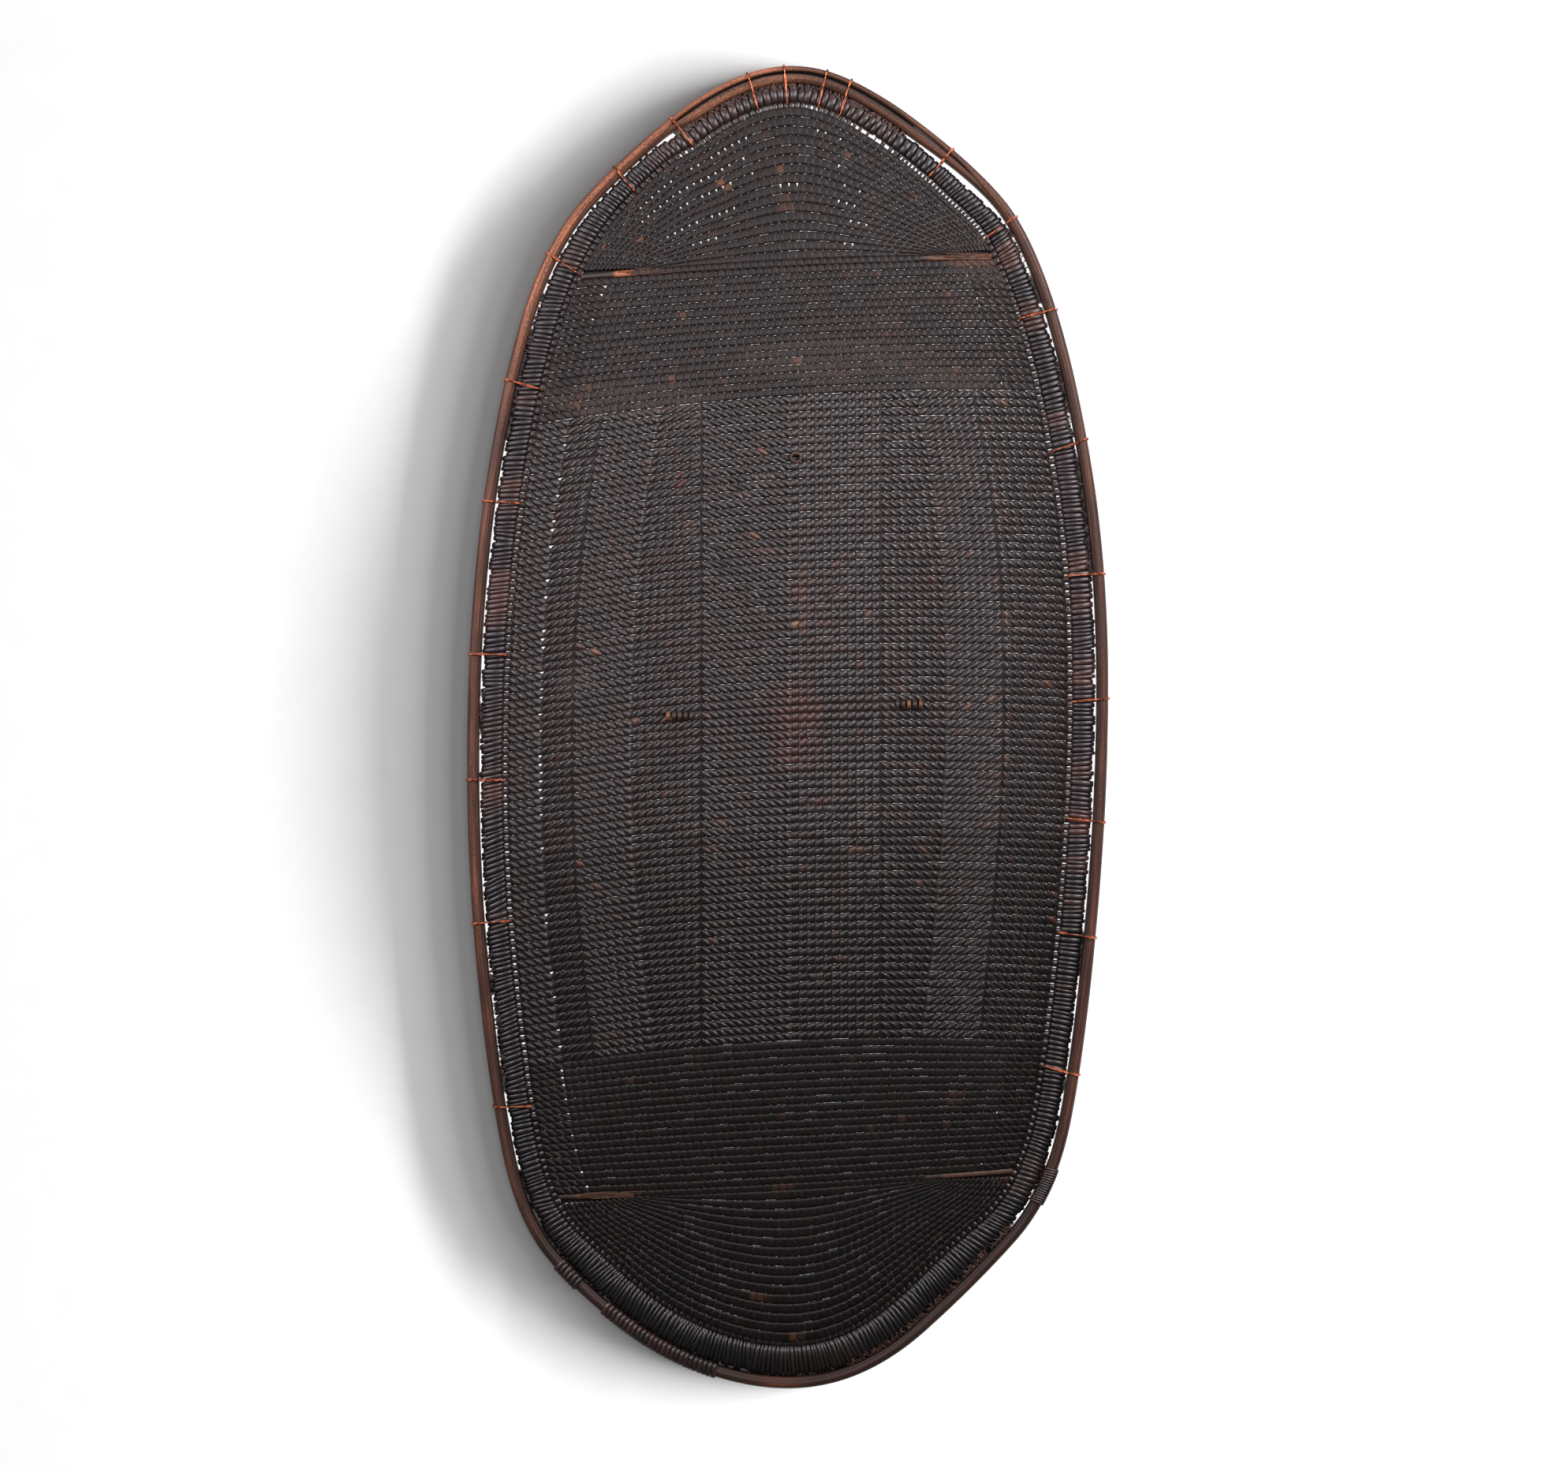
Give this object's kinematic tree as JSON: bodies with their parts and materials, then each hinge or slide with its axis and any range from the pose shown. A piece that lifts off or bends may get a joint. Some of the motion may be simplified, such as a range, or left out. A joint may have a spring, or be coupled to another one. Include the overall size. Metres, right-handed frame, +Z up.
{
  "type": "plaited cane shield",
  "caption": "Tall oval shield of blackened plaited cane with a bent cane rim tied on by copper wire, a thick bound edge, a shallow dome and a wooden hand grip behind.",
  "frame": {"origin": "under the middle of the whole shield, on the plane that the rim canes rest on", "axes": "+Z up, out of the shield's face as it lies on its back; +Y towards the shield's top; +X to the right seen from the face"},
  "size_m": [0.5846, 1.2006, 0.066],
  "materials": {
    "woven_cane": "smoke-blackened plaited cane, satin, with worn brown stitches",
    "roll_cane": "blackened split cane, satin",
    "rim_cane": "red-brown bent cane, satin, rubbed paler on its crown",
    "inner_rim_cane": "dark red-brown bent cane, satin",
    "black_binding": "black wound cane, dull",
    "rod_cane": "dark brown rod with pale splits",
    "brown_strand": "brown cane strand, dry",
    "grip_wood": "dark carved wood, handled smooth",
    "copper_wire": "copper wire, bright on top and dull between"
  },
  "bodies": {
    "root": {"woven_panel": "woven_cane", "edge_roll": "roll_cane", "outer_rim_cane": "rim_cane", "inner_rim_cane": "inner_rim_cane", "corner_cuff": "black_binding", "long_lower_wrapping": "black_binding", "short_lower_wrapping": "black_binding", "upper_cross_rod": "rod_cane", "lower_cross_rod": "rod_cane", "hole_binding": "brown_strand", "hand_grip": "grip_wood", "left_grip_lashing": "brown_strand", "right_grip_lashing": "brown_strand", "wire_tie_1": "copper_wire", "wire_tie_2": "copper_wire", "wire_tie_3": "copper_wire", "wire_tie_4": "copper_wire", "wire_tie_5": "copper_wire", "wire_tie_6": "copper_wire", "wire_tie_7": "copper_wire", "wire_tie_8": "copper_wire", "wire_tie_9": "copper_wire", "wire_tie_10": "copper_wire", "wire_tie_11": "copper_wire", "wire_tie_12": "copper_wire", "wire_tie_13": "copper_wire", "wire_tie_14": "copper_wire", "wire_tie_15": "copper_wire", "wire_tie_16": "copper_wire", "wire_tie_17": "copper_wire", "wire_tie_18": "copper_wire", "wire_tie_19": "copper_wire", "wire_tie_20": "copper_wire", "wire_tie_21": "copper_wire", "wire_tie_22": "copper_wire"}
  },
  "joints": []
}
